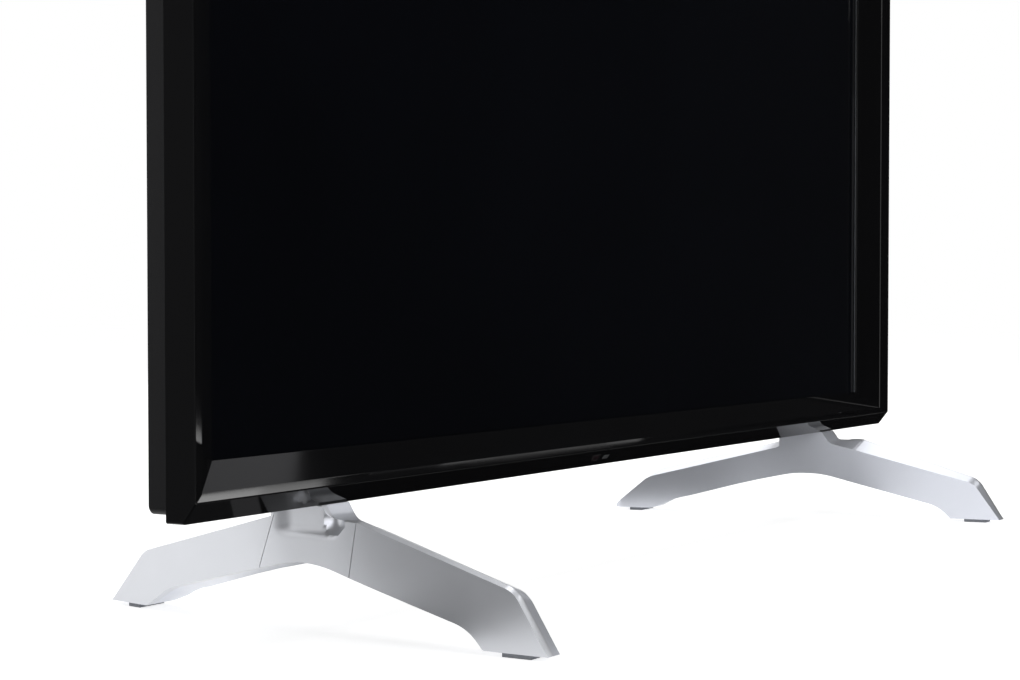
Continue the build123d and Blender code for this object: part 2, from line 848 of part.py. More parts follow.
def make_speaker_driver(side):
    """An oval driver: a rim under the box floor and a dished cone inside it."""
    x = side * (speaker_outer - speaker_length / 2)
    front = at(board_front)
    y = front + speaker_depth / 2
    rim = extrude(SlotOverall(cone_length + 2 * surround, cone_width + 2 * surround), amount=-surround)
    body = extrude(SlotOverall(cone_length, cone_width), amount=speaker_wall + cone_dish)
    dish = extrude(SlotOverall(cone_length - surround, cone_width - surround), amount=cone_dish, taper=30)
    return Pos(x, y, speaker_floor) * (rim + body - Pos(0, 0, -surround) * dish)


def make_grommets():
    """Rubber bushes between each speaker box and the tray."""
    rings = []
    for side in (-1, 1):
        for end in (1, -1):
            x = side * (speaker_outer - speaker_length / 2) + end * (speaker_length / 2 - standoff_inset)
            z = speaker_floor + speaker_height - standoff_inset
            rings.append(rod(x, z, at(tray_back), at(board_front), standoff_radius * 3 / 2)
                         - rod(x, z, at(tray_back) - overrun, at(board_front) + overrun, screw_radius))
    return solids(rings)


# Feet

def side_profile():
    """The arch of one foot seen from the side: toe towards the viewer, heel behind."""
    points = [
        (neck_y - toe_reach, pad_thickness),
        (neck_y - toe_shoulder, toe_shoulder_height),
        (neck_y - crown_front, crown_height),
        (neck_y - crown_blend, crown_height + crown_rise),
        (neck_y - neck_half, ground_gap),
        (neck_y + neck_half, ground_gap),
        (neck_y + neck_half, heel_crown_height + seam_gap),
        (neck_y + heel_crown, heel_crown_height),
        (neck_y + heel_shoulder, heel_shoulder_height),
        (neck_y + heel_reach, pad_thickness),
        (neck_y + heel_sole, pad_thickness),
        (neck_y + heel_knee, heel_knee_height),
        (neck_y - arch_apex, arch_apex_height),
        (neck_y - toe_knee, toe_knee_height),
        (neck_y - toe_sole, pad_thickness),
    ]
    radii = [0, toe_radius, blend_radius, blend_radius, corner_radius, corner_radius, 0, 0,
             toe_radius, 0, corner_radius, knee_radius, arch_radius, knee_radius, corner_radius]
    return make_face(Plane.YZ * FilletPolyline(*points, radius=radii, close=True))


def plan_strip(inner, outer):
    """The foot's plan between two offsets from its centre line, for the right-hand foot."""
    line = [(foot_x + toe_out, neck_y - toe_reach - overrun), (foot_x + seam_out, neck_y - toe_seam),
            (foot_x - seam_out, neck_y + heel_seam), (foot_x - heel_in, neck_y + heel_reach + overrun)]
    outside = [(x + outer, y) for x, y in line]
    inside = [(x + inner, y) for x, y in reversed(line)]
    plan = make_face(Polyline(*outside, *inside, close=True))
    return extrude(plan, amount=ground_gap + overrun, dir=(0, 0, 1))


def seam_region(y_from, y_to, lean_from, lean_to):
    """The stretch between two leaning seams, through the whole foot."""
    low, high = 0, ground_gap + overrun
    points = [(y_from + lean_from, low), (y_to + lean_to, low), (y_to - lean_to, high),
              (y_from - lean_from, high)]
    side = make_face(Plane.YZ * Polyline(*points, close=True))
    return extrude(side, amount=2 * foot_x, dir=(1, 0, 0))


def foot_form():
    return extrude(side_profile(), amount=2 * foot_x, dir=(1, 0, 0))


def foot_plug():
    """The raised block that enters the cabinet and meets the steel bracket."""
    return box(body_mid - plug_half, body_mid + plug_half, neck_y + plug_front, neck_y + plug_rear,
               ground_gap - overrun, bracket_floor)


foot_screw_ys = [neck_y + (plug_front + plug_rear) / 2 + side * foot_screw_pitch / 2 for side in (-1, 1)]


def make_foot_body():
    form = foot_form() & plan_strip(-foot_half, foot_half - skin)
    form += foot_plug()
    for y in foot_screw_ys:
        form -= post(body_mid, y, 0, ground_gap * 2, foot_screw_hole)
        form -= post(body_mid, y, 0, foot_screw_seat, foot_screw_head_radius + fit)
    return form


def upper_edges(plate, tip, crown):
    """The edges of a plate's outer face that lie above the chord from the tip to the crown."""
    outer = max(plate.faces(), key=lambda face: face.normal_at().X * face.area)
    chord = (crown[0] - tip[0], crown[1] - tip[1])
    side = 1 if chord[0] > 0 else -1
    picked = []
    for edge in outer.edges():
        middle = edge @ (1 / 2)
        rise = chord[0] * (middle.Z - tip[1]) - chord[1] * (middle.Y - tip[0])
        if side * rise > 0:
            picked.append(edge)
    return picked


def make_foot_plates():
    """The outer skin in three plates, parted by leaning seams."""
    skin_form = foot_form() & plan_strip(foot_half - skin, foot_half)
    half_gap = seam_gap / 2
    front_seam = neck_y - toe_seam
    rear_seam = neck_y + heel_seam
    toe = skin_form & seam_region(neck_y - toe_reach - overrun, front_seam - half_gap, 0, toe_lean / 2)
    neck = skin_form & seam_region(front_seam + half_gap, rear_seam - half_gap, toe_lean / 2, heel_lean / 2)
    heel = skin_form & seam_region(rear_seam + half_gap, neck_y + heel_reach + overrun, heel_lean / 2, 0)
    toe_tip, toe_crown = (neck_y - toe_reach, pad_thickness), (neck_y - crown_front, crown_height)
    heel_tip, heel_top = (neck_y + heel_reach, pad_thickness), (neck_y + heel_crown, heel_crown_height)
    toe = chamfer(upper_edges(toe, toe_tip, toe_crown), toe_chamfer)
    heel = chamfer(upper_edges(heel, heel_tip, heel_top), plate_chamfer)
    return toe, neck, heel


def make_pad(front, back):
    """A rubber pad, the foot's plan drawn in a little."""
    strip = plan_strip(-foot_half + pad_inset, foot_half - pad_inset)
    return strip & box(0, 2 * foot_x, front, back, 0, pad_thickness)


def make_foot_screws():
    screws = []
    for side in (-1, 1):
        for y in foot_screw_ys:
            top = bracket_floor + bracket_wall + foot_screw_head
            shank = post(side * body_mid, y, foot_screw_seat, top, foot_screw_radius)
            head = post(side * body_mid, y, foot_screw_seat - foot_screw_head, foot_screw_seat,
                        foot_screw_head_radius)
            screws.append(shank + head)
    return solids(screws)


def make_bracket():
    """Steel angle: a shelf over the foot's plug and an upright on the tray."""
    shelf_front = neck_y + plug_front - plug_half
    shelf = box(body_mid - bracket_half, body_mid + bracket_half, shelf_front, at(tray_back + bracket_wall),
                bracket_floor, bracket_floor + bracket_wall)
    upright = box(body_mid - bracket_half, body_mid + bracket_half, at(tray_back), at(tray_back + bracket_wall),
                  bracket_floor, bracket_floor + bracket_height)
    bracket = shelf + upright
    for y in foot_screw_ys:
        bracket -= post(body_mid, y, bracket_floor - overrun, bracket_floor + bracket_wall + overrun,
                        foot_screw_radius)
    return bracket


def mirrored(shape):
    return mirror(shape, about=Plane.YZ)


# Wall fixing

def make_bushes():
    """Threaded bushes from the tray out to the back of the hump."""
    bushes = []
    for x, z in wall_places:
        bush = rod(x, z, at(tray_back), at(hump_depth), bush_radius)
        bushes.append(bush - rod(x, z, at(hump_depth - bush_thread_length), at(hump_depth) + overrun,
                                 bush_thread_radius))
    return solids(bushes)


def make_cover_screws():
    floor = cup_floor_depth + cup_wall
    return solids([rod(x, z, at(window_depth + frame_wall), at(floor), screw_radius)
                   + rod(x, z, at(floor), at(floor + screw_head), screw_head_radius)
                   for x, z in screw_places])


def main():
    save("front_frame", make_front_frame())
    save("remote_window", chin_pocket(window_left, window_right, window_tall, 0))
    save("standby_light", chin_pocket(light_left, light_right, light_tall, 0))
    save("sensor_board", make_sensor_board())

    save("glass_clamp_frame", make_clamp_frame())
    save("display_glass", glass.slab(at(clamp_back), at(glass_back)))
    save("panel_carrier_frame", make_carrier())
    sheets = tray.grown(-plate_inset)
    save("prism_film", sheets.slab(at(carrier_back), at(prism_back)))
    save("diffuser_film", sheets.slab(at(prism_back), at(diffuser_back)))
    save("diffuser_plate", sheets.slab(at(diffuser_back), at(plate_back)))
    save("film_supports", make_film_supports())
    save("reflector_sheet", make_reflector())
    save("light_bars", make_light_bars())
    save("light_lenses", make_lenses())
    save("driver_tapes", make_tapes())
    save("source_boards", make_source_boards())
    save("ribbon_cables", make_ribbons())

    timing_board, timing_spots = board(-timing_board_half, timing_board_half, timing_board_low, timing_board_high)
    main_board, main_spots = board(main_board_inner, main_board_outer, main_board_low, main_board_high,
                                   main_screw_inset)
    power_board, power_spots = board(-power_board_outer, -power_board_inner, power_board_low, power_board_high)
    spots = timing_spots + main_spots + power_spots
    save("backlight_tray", make_tray(spots))
    save("timing_board", timing_board)
    save("main_board", main_board)
    save("power_board", power_board)
    save("board_screws", solids(board_screws(spots)))
    save("power_transformers", make_transformers())
    save("power_capacitors", make_capacitors())
    chip_x, chip_z = (main_board_inner + main_board_outer) / 2 - chip_side, (bay_low + bay_high) / 2
    save("processor_chip", box(chip_x - chip_side / 2, chip_x + chip_side / 2, at(board_back),
                               at(board_back + chip_height), chip_z - chip_side / 2, chip_z + chip_side / 2))
    save("processor_heat_sink", heat_sink(chip_x, chip_z, chip_side * 2, chip_side * 2, board_back + chip_height))
    for name, shells in make_sockets().items():
        save(name, solids(shells))
    save("mains_inlet", make_inlet())
    save("terminal_bay", make_bay(1, bay_low, bay_high) - socket_cuts())
    save("mains_bay", make_bay(-1, inlet_low, inlet_high) - inlet_box(1))

    save("speaker_box_left", make_speaker_box(-1))
    save("speaker_box_right", make_speaker_box(1))
    save("speaker_drivers", solids([make_speaker_driver(side) for side in (-1, 1)]))
    save("speaker_grommets", make_grommets())

    key_board, key_switches = make_key_board()
    save("key_board", key_board)
    save("key_switches", key_switches)
    for name, z in zip(("key_power", "key_source", "key_menu", "key_down", "key_up"), reversed(key_heights)):
        save(name, make_key(z))

    save("rear_cover", make_rear_cover())
    save("cover_screws", make_cover_screws())
    save("wall_mount_bushes", make_bushes())

    toe, neck, heel = make_foot_plates()
    right_pieces = {"foot_body": make_foot_body(), "foot_toe_cover": toe, "foot_neck_cover": neck,
                    "foot_heel_cover": heel}
    for name, piece in right_pieces.items():
        save(f"{name}_right", piece)
        save(f"{name}_left", mirrored(piece))
    pads = [make_pad(neck_y - toe_reach + pad_inset, neck_y - toe_reach + pad_inset + toe_pad_length),
            make_pad(neck_y + heel_reach - pad_inset - heel_pad_length, neck_y + heel_reach - pad_inset)]
    save("foot_pads", solids(pads + [mirrored(pad) for pad in pads]))
    bracket = make_bracket()
    save("foot_brackets", solids([bracket, mirrored(bracket)]))
    save("foot_screws", make_foot_screws())


main()
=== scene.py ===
# %% [markdown]
# # A flat screen television on two arch feet
#
# A television of this kind is a shallow box: a gloss black moulding in front, a picture panel behind it, a
# grained rear cover, and two cast feet near its corners. Its inner pieces and its true sizes come from a
# construction model that was packed beforehand and is loaded here as a fixed frame. This file dresses that
# frame. It gives every piece a finish, and it rebuilds the pieces that show with the softer forms that
# moulding and casting leave. What the frame knows is taken from it, and what only the photograph shows is
# written down as real sizes.

# %% Load the frame
import json
import math

import bmesh
import bpy
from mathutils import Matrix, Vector
from mathutils.geometry import delaunay_2d_cdt


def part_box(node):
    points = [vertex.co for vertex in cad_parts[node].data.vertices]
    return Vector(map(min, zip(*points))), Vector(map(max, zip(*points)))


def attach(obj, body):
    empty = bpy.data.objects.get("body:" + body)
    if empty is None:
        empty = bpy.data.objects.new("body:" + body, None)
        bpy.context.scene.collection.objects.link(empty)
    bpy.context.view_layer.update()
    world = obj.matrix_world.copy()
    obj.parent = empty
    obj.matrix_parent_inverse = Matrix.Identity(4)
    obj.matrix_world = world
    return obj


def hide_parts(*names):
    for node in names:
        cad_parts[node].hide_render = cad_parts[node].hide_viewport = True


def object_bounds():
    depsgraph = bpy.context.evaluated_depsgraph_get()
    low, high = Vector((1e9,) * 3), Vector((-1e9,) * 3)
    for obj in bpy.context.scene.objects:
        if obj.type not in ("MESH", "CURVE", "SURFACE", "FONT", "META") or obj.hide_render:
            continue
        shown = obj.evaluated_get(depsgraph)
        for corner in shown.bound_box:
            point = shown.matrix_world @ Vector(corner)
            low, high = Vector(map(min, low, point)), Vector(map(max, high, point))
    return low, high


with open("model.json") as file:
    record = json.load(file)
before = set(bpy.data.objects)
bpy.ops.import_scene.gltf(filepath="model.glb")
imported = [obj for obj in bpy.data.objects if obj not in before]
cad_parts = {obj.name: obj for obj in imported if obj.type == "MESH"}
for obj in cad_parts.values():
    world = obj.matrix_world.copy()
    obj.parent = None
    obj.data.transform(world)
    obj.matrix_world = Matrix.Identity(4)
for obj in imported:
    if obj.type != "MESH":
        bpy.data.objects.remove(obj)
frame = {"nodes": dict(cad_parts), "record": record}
nodes = frame["nodes"]
cad_box = [list(corner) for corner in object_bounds()]
mm = 0.001
print("nodes", len(nodes), "box", cad_box)

# %% [markdown]
# ## Camera
#
# The photograph was taken from the front left, low and close, with a long lens. A camera could be turned
# until the picture looks right, but then every later comparison would carry that error. Here the place, the
# angle and the lens come from a pinhole fit to the corners of the picture, the frame and the feet. The
# upward shift stands for the part of the photograph that was cut away.

# %% Camera
eye = Vector((-1.2583, -0.65275, 0.1778))
turn_from_back = math.radians(59.75)
look_down = math.radians(1.84)
focal_length, film_width = 73.33, 36.0
upward_shift = 0.026
nearest_seen = 0.01
camera_data = bpy.data.cameras.new("camera")
camera_data.lens = focal_length
camera_data.sensor_width = film_width
camera_data.shift_y = upward_shift
camera_data.clip_start = nearest_seen
camera = bpy.data.objects.new("camera", camera_data)
camera.location = eye
camera.rotation_euler = (math.radians(90) - look_down, 0, -turn_from_back)
bpy.context.scene.collection.objects.link(camera)
bpy.context.scene.camera = camera
bpy.context.scene.view_settings.view_transform = "Standard"
print("camera at", tuple(camera.location))

# %% [markdown]
# ## Light that only some rays see
#
# Goods are photographed on a white sweep, which looks pure white and yet must not flood them with light.
# Turning the lamps up until the sweep is white would bleach the object. Blender can tell what kind of ray
# asks for a colour, so one small group of nodes answers two ways: high for rays that come from the camera,
# from a gloss face or through glass, and low for the rays that carry light to the object.

# %% Nodes and the share that is seen
def shader_node(tree, kind, values=None):
    """A new node of a kind, with values for some of its inputs."""
    made = tree.nodes.new("ShaderNode" + kind)
    for name, value in (values or {}).items():
        made.inputs[name].default_value = value
    return made


def seen_share(tree, low, high):
    """A value that is high for camera, glossy and transmission rays and low for all others."""
    path = shader_node(tree, "LightPath")
    first = shader_node(tree, "Math")
    second = shader_node(tree, "Math")
    second.use_clamp = True
    ramp = shader_node(tree, "MapRange", {"To Min": low, "To Max": high})
    tree.links.new(path.outputs["Is Camera Ray"], first.inputs[0])
    tree.links.new(path.outputs["Is Glossy Ray"], first.inputs[1])
    tree.links.new(first.outputs[0], second.inputs[0])
    tree.links.new(path.outputs["Is Transmission Ray"], second.inputs[1])
    tree.links.new(second.outputs[0], ramp.inputs["Value"])
    return ramp.outputs["Result"]


print("the high value is for camera, glossy and transmission rays")

# %% [markdown]
# ## World
#
# The world is the sweep itself, white to the camera and half as strong as a light. The weaker fill leaves
# room for the lamps to model the forms, and pale surfaces keep their tone.

# %% World
sky_fill = 0.5
sky_seen = 1.0
world = bpy.data.worlds.new("studio")
bpy.context.scene.world = world
world.use_nodes = True
sky = world.node_tree.nodes["Background"]
sky.inputs["Color"].default_value = (1, 1, 1, 1)
world.node_tree.links.new(seen_share(world.node_tree, sky_fill, sky_seen), sky.inputs["Strength"])
print("sky fill", sky_fill)

# %% [markdown]
# ## Lamps
#
# Gloss black shows nothing but what it mirrors, and satin paint shows soft gradients, so both want large,
# even lamps. Sun or spot lamps would leave hard dots on the bevels. Every lamp here is a rectangle that faces
# a named point of the set. Its power follows from its brightness and its area, so that a lamp can be made
# larger without making the picture brighter where it is mirrored.

# %% A maker of lamps
def softbox(name, middle, aim, wide, deep, radiance):
    """A rectangular lamp that faces a point. Its power follows from its brightness and its area."""
    data = bpy.data.lights.new(name, "AREA")
    data.shape = "RECTANGLE"
    data.size = wide
    data.size_y = deep
    data.energy = radiance * math.pi * wide * deep
    lamp = bpy.data.objects.new(name, data)
    lamp.location = middle
    lamp.rotation_euler = (Vector(middle) - Vector(aim)).to_track_quat("Z", "Y").to_euler()
    bpy.context.scene.collection.objects.link(lamp)


print("a softbox of one square metre at a brightness of one draws", round(math.pi, 2), "W")

# %% [markdown]
# ## The five lamps
#
# One wide softbox hangs over the set and behind it, and lights the tops of the feet. The key stands in front,
# above the eye, for the outer faces of the feet. Two lamps behind the set put a pale edge on the neck and the
# heel, and one on the right reaches the end of the toe, which faces away from the camera.

# %% Lamps
overhead_aim = (0.51, 0.415, 0)
front_aim = (0.3, -0.1, 0.05)
left_heel = (-0.37, 0.05, 0.03)
left_toe = (-0.37, -0.15, 0.03)
right_neck = (0.36, 0.0, 0.05)
# Each row: name, middle, point that it faces, width and depth, all in metres, and brightness.
for name, middle, aim, wide, deep, radiance in (
        ("overhead", (0.51, 0.415, 1.8), overhead_aim, 3.02, 1.57, 1.5),
        ("front_key", (-0.3, -1.8, 1.1), front_aim, 1.2, 0.9, 3.4),
        ("left_back", (-1.1, 2.0, 0.8), left_heel, 1.0, 0.8, 0.7),
        ("right_back", (2.5, 1.6, 1.9), right_neck, 1.2, 0.9, 2.6),
        ("right_front", (2.0, -1.3, 1.7), left_toe, 0.8, 0.6, 2.5)):
    softbox(name, middle, aim, wide, deep, radiance)
print("lamps", [light.name for light in bpy.data.lights])

# %% [markdown]
# ## A maker of cards
#
# A photographer of glossy goods sets up grey and black cards to draw the edges of a form. A card here is one
# flat face with an even glow that only glossy rays see. It shapes the mirrored light, throws no shadow and is
# never in the picture itself. Real cards would also block the lamps, which would have to be set up again.

# %% A maker of cards
cool = 1.04
cards = []


def card(name, low, high, glow):
    """An upright or lying card between two corners, seen only in reflections."""
    x0, y0, z0 = low
    x1, y1, z1 = high
    if z0 == z1:
        corners = [(x0, y0, z0), (x1, y0, z0), (x1, y1, z0), (x0, y1, z0)]
    else:
        corners = [(x0, y0, z0), (x1, y1, z0), (x1, y1, z1), (x0, y0, z1)]
    mesh = bpy.data.meshes.new(name)
    mesh.from_pydata(corners, [], [(0, 1, 2, 3)])
    board = bpy.data.objects.new(name, mesh)
    bpy.context.scene.collection.objects.link(board)
    paint = bpy.data.materials.new(name)
    paint.use_nodes = True
    tree = paint.node_tree
    tree.nodes.remove(tree.nodes["Principled BSDF"])
    light = shader_node(tree, "Emission", {"Color": (glow, glow, glow * cool, 1)})
    tree.links.new(light.outputs[0], tree.nodes["Material Output"].inputs["Surface"])
    mesh.materials.append(paint)
    board.visible_camera = False
    board.visible_diffuse = False
    board.visible_transmission = False
    board.visible_shadow = False
    cards.append(board)


print("cards glow", cool, "times stronger in blue")

# %% [markdown]
# ## Upright and hanging cards
#
# Seen from the camera, the screen and the crest mirror what stands in front of the set on the right, so near
# black cards stand there and keep them black. The lower bevel mirrors the grey card above, and the left side
# of the set the two grey cards beside it, which draws their pale edges. The white flag stands in front on the
# left and brightens the outer faces of the feet.

# %% Upright and hanging cards
# Each card: name, two opposite corners in metres, and glow.
near_black = 0.012
card("dark_right", (2.6, -3.0, 0.0), (2.6, 0.08, 2.4), near_black)
card("dark_front", (-0.5, -3.0, 0.0), (2.6, -3.0, 2.4), near_black)
card("grey_left", (-1.3, 0.15, 0.0), (-1.3, 0.85, 1.2), 0.16)
card("grey_ceiling", (-1.0, -1.6, 1.8), (2.02, -0.37, 1.8), 0.44)
card("grey_flag", (-0.9, 0.08, 0.0), (-0.9, 0.5, 0.6), 0.1)
card("white_flag", (-1.0, -0.6, 0.0), (-1.0, -0.03, 0.5), 1.8)
print("upright and hanging cards", len(cards))

# %% [markdown]
# ## Mats on the floor
#
# The lower face of the frame slopes back and mirrors the floor, and a white floor would turn it white. Dark
# and grey mats lie there instead. Two of them are painted shadow, near black patches for the shade that the
# set throws on the floor under its chin and behind it. Their edges give the tone steps along that face. Mats
# that overlap lie at different heights, all under a millimetre, so that the upper one is always the one that
# is mirrored.

# %% Mats on the floor
low_mat, mid_mat, top_mat = 0.0005, 0.0006, 0.0007
pitch_black = 0.006
card("dark_mat", (-0.1, -3.0, mid_mat), (2.6, -0.2, mid_mat), near_black)
card("grey_mat", (-1.3, 0.22, mid_mat), (-0.72, 0.85, mid_mat), 0.18)
card("foot_mat", (-1.3, -0.02, low_mat), (-0.5, 0.22, low_mat), 0.16)
card("chin_left", (-0.62, -0.09, top_mat), (-0.35, 0.0, top_mat), 0.03)
card("chin_grey", (-0.35, -0.06, top_mat), (-0.325, 0.0, top_mat), 0.15)
# Painted shadow: these two near black mats stand for the shade that the set throws on the floor below its
# chin and behind it, which the chin and the rear legs mirror.
card("chin_painted_shadow", (-0.325, -0.06, low_mat), (1.1, 0.0, low_mat), pitch_black)
card("rear_painted_shadow", (-0.28, 0.02, low_mat), (0.25, 0.4, low_mat), pitch_black)
print("cards with the mats", len(cards))

# %% [markdown]
# ## Floor
#
# The floor is a plain pale sheet. A sheet that is lit until it is white would throw too much light up at the
# feet. So part of its tone is a glow that only camera, glossy and transmission rays see, and the rest is
# lit by the lamps, which leaves the soft shadow of the feet on it.

# %% Floor
floor_half = 9.0
floor_glow = 0.7
floor_tone = 0.6
floor_rough = 0.7
floor_mesh = bpy.data.meshes.new("floor")
floor_mesh.from_pydata([(-floor_half, -floor_half, 0), (floor_half, -floor_half, 0),
                        (floor_half, floor_half, 0), (-floor_half, floor_half, 0)], [], [(0, 1, 2, 3)])
floor = bpy.data.objects.new("floor", floor_mesh)
bpy.context.scene.collection.objects.link(floor)
floor_paint = bpy.data.materials.new("floor_paint")
floor_paint.use_nodes = True
floor_shader = floor_paint.node_tree.nodes["Principled BSDF"]
floor_shader.inputs["Base Color"].default_value = (floor_tone, floor_tone, floor_tone, 1)
floor_shader.inputs["Roughness"].default_value = floor_rough
floor_shader.inputs["Specular IOR Level"].default_value = 0.0
floor_shader.inputs["Emission Color"].default_value = (1, 1, 1, 1)
floor_paint.node_tree.links.new(seen_share(floor_paint.node_tree, 0.0, floor_glow),
                                floor_shader.inputs["Emission Strength"])
floor_mesh.materials.append(floor_paint)
print("floor", 2 * floor_half, "m square")

# %% [markdown]
# ## Colours
#
# A colour read off a screen runs from 0 to 255 along a curve that suits the eye, and a shader wants plain
# amounts of light. Blender's colour picker does that sum unseen. In a script it is written out, with the
# constants of the usual screen standard, so that a tone can be named as it looks.

# %% Colours
def tone(red, green, blue):
    """A colour as read off a screen, from 0 to 255, turned into light."""
    def light(value):
        share = value / 255
        return share / 12.92 if share <= 0.04045 else ((share + 0.055) / 1.055) ** 2.4
    return light(red), light(green), light(blue), 1


print("a middle grey of 128 gives", round(tone(128, 128, 128)[0], 3), "of the light")

# %% [markdown]
# ## A maker of finishes
#
# No real surface is even. Handling and moulding shift its tone and its polish over a hand's breadth, and a
# fine grain lies on top. Painted or photographed textures could show that, but they would need an unwrapped
# mesh for every piece. One cloud of noise in the object's own space drives both shifts here, and a second,
# much finer one raises the grain. What is the same all over is set on the shader itself.

# %% A maker of finishes
cloud_low, cloud_high = 0.3, 0.7
cloud_detail = 4
smoothest = 0.02
paints = {}


def drifting_tone(tree, drift, colour, spread):
    """The colour, a little darker and a little lighter from place to place."""
    shades = shader_node(tree, "ValToRGB")
    dark, pale = shades.color_ramp.elements
    dark.position, pale.position = cloud_low, cloud_high
    dark.color = [value * (1 - spread) for value in colour[:3]] + [1]
    pale.color = [min(1, value * (1 + spread)) for value in colour[:3]] + [1]
    tree.links.new(drift.outputs[0], shades.inputs["Fac"])
    return shades.outputs["Color"]


def drifting_polish(tree, drift, rough, spread):
    """The roughness, a little less and a little more from place to place."""
    polish = shader_node(tree, "MapRange", {"From Min": cloud_low, "From Max": cloud_high,
                                            "To Min": max(smoothest, rough - spread),
                                            "To Max": min(1, rough + spread)})
    tree.links.new(drift.outputs[0], polish.inputs["Value"])
    return polish.outputs["Result"]


def finish(slot, colour, rough, metal=0.0, grain=900.0, depth=0.02, cloud=14.0, spread=0.06,
           rough_spread=0.05, stretch=(1, 1, 1), cells=False, coat=0.0, specular=0.5):
    """A procedural finish for a slot. The grain's depth is in millimetres."""
    paint = bpy.data.materials.new("finish_" + slot)
    paint.use_nodes = True
    tree = paint.node_tree
    shader = tree.nodes["Principled BSDF"]
    place = shader_node(tree, "TexCoord")
    scale = shader_node(tree, "Mapping", {"Scale": stretch})
    drift = shader_node(tree, "TexNoise", {"Scale": cloud, "Detail": cloud_detail})
    fine = shader_node(tree, "TexVoronoi" if cells else "TexNoise", {"Scale": grain})
    raised = shader_node(tree, "Bump", {"Strength": 1.0, "Distance": depth * mm})
    tree.links.new(place.outputs["Object"], scale.inputs["Vector"])
    tree.links.new(scale.outputs["Vector"], drift.inputs["Vector"])
    tree.links.new(scale.outputs["Vector"], fine.inputs["Vector"])
    tree.links.new(fine.outputs[0], raised.inputs["Height"])
    tree.links.new(raised.outputs["Normal"], shader.inputs["Normal"])
    tree.links.new(drifting_tone(tree, drift, colour, spread), shader.inputs["Base Color"])
    tree.links.new(drifting_polish(tree, drift, rough, rough_spread), shader.inputs["Roughness"])
    shader.inputs["Metallic"].default_value = metal
    shader.inputs["Coat Weight"].default_value = coat
    shader.inputs["Specular IOR Level"].default_value = specular
    paints[slot] = paint


print("cloud from", cloud_low, "to", cloud_high)

# %% [markdown]
# ## Finishes of the casing
#
# The front moulding is black plastic with a mirror gloss, so its grain is nearly nothing. The rear cover is
# moulded in an etched tool, which leaves small cells that scatter the light. The window for the remote
# control is smoked plastic that looks black until it is lit. The light guide beside it is off, so it is only
# a dark grey dot.

# %% Finishes of the casing
finish("frame_gloss_black", tone(12, 12, 13), 0.045, grain=240, depth=0.0004, rough_spread=0.015)
finish("cover_black", tone(21, 21, 23), 0.52, grain=1500, depth=0.06, cells=True, specular=0.22)
finish("smoked_window", tone(30, 18, 22), 0.1, grain=300, depth=0.001, coat=0.6)
finish("light_guide", tone(34, 35, 38), 0.3, grain=500, depth=0.004)
finish("key_black", tone(30, 30, 33), 0.35, grain=1500, depth=0.02)
finish("screw_black", tone(40, 40, 43), 0.36, metal=0.6, grain=1200, depth=0.01)
finish("bush_steel", tone(176, 178, 182), 0.32, metal=1.0, grain=900, depth=0.01)
print("finishes of the casing", len(paints))

# %% [markdown]
# ## Finishes of the picture panel
#
# The glass of a dark screen is the smoothest face of the set. Its faint blue and the slow, wide drift of its
# tone are partly the tint of the glass and partly a painted sheen, for the dull blue glow that it mirrors.
# Behind it lie films, a white reflector, lenses and bars that nobody sees in use. They are finished all the
# same, since a part that is taken apart shows them. Rolled films and drawn bars have a grain that runs one
# way, which the stretch gives.

# %% Finishes of the picture panel
drawn_across = (0.05, 1, 1)
# Partly painted sheen: the blue in this tone and its wide drift stand for a dull blue reflection, on top of
# the glass's own tint.
finish("screen_glass", tone(6, 7, 11), 0.07, grain=700, depth=0.0006, cloud=3.0, rough_spread=0.02,
       spread=0.25)
finish("white_plastic", tone(226, 227, 226), 0.5, grain=700, depth=0.02)
finish("optical_film", tone(214, 218, 222), 0.25, grain=800, depth=0.01, stretch=drawn_across)
finish("bar_aluminium", tone(200, 202, 204), 0.34, metal=1.0, stretch=drawn_across)
finish("clear_lens", tone(222, 226, 228), 0.12, grain=400, depth=0.004, coat=0.5)
finish("zinc_steel", tone(186, 190, 194), 0.38, metal=1.0, grain=260, depth=0.012)
finish("amber_tape", tone(178, 110, 32), 0.32, grain=600, depth=0.01)
print("finishes with the panel", len(paints))

# %% [markdown]
# ## Finishes of the electronics
#
# Boards are glass cloth under lacquer, green or tan, and their weave shows as small cells. Cans, screws and
# sockets are bright metal, and the ribbon cables have ribs along their length, drawn here by a grain that is
# stretched upwards. The speaker cones are soft dull paper.

# %% Finishes of the electronics
drawn_back = (1, 0.05, 1)
ribbed_up = (1, 1, 0.02)
finish("board_green", tone(28, 84, 52), 0.4, grain=420, depth=0.03, cells=True)
finish("board_tan", tone(168, 140, 92), 0.55, grain=420, depth=0.03, cells=True)
finish("can_aluminium", tone(204, 206, 208), 0.28, metal=1.0, stretch=drawn_back)
finish("ribbon_white", tone(224, 224, 218), 0.45, grain=900, depth=0.05, stretch=ribbed_up)
finish("screw_steel", tone(190, 192, 196), 0.3, metal=1.0, grain=1200, depth=0.01)
finish("dark_plastic", tone(28, 28, 30), 0.48, grain=1300, depth=0.03)
finish("socket_steel", tone(196, 198, 202), 0.26, metal=1.0, grain=900, depth=0.006)
finish("cone_paper", tone(38, 37, 36), 0.85, grain=800, depth=0.08)
finish("rubber_black", tone(24, 24, 25), 0.75, grain=1400, depth=0.04)
print("finishes with the electronics", len(paints))

# %% [markdown]
# ## Finishes of the feet
#
# The feet wear a satin silver paint: metal flake in a clear binder, more grey than a bare metal and softer
# than a gloss. It is a mostly metallic shader with a very shallow, very fine grain. Its roughness drifts
# only a little, because the picture's noise filter treats sharp and blurred gloss in two ways, and a paint
# that crosses from one to the other shows a crack there. The pads are grey rubber. The casting is given a
# paler, bluer tone than the plates. That is painted light on the same paint, for the key light that
# brightens the inner face of the right foot.

# %% Finishes of the feet
flake = {"metal": 0.7, "grain": 2600, "spread": 0.03, "rough_spread": 0.03}
